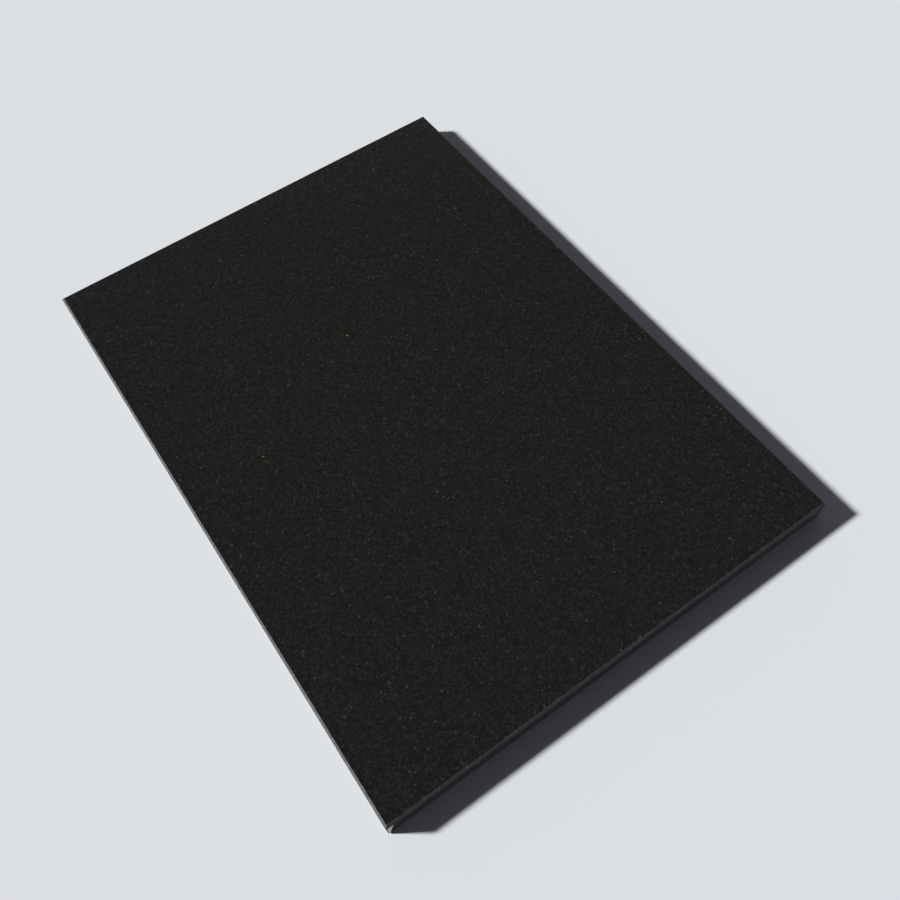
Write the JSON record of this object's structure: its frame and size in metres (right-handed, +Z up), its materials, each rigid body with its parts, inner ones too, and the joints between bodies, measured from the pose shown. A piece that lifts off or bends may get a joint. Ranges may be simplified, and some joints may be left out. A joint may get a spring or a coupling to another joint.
{
  "type": "granite slab",
  "caption": "Flat rectangular slab of polished black granite with ground arrises, used as a hard flat base for leatherwork.",
  "frame": {"origin": "middle of the underside, on the surface that the slab lies on", "axes": "+Z up out of the polished working face, +Y along the slab's length, +X across its width"},
  "size_m": [0.203, 0.28, 0.011],
  "materials": {
    "granite": "polished"
  },
  "bodies": {
    "root": {"slab": "granite"}
  },
  "joints": []
}
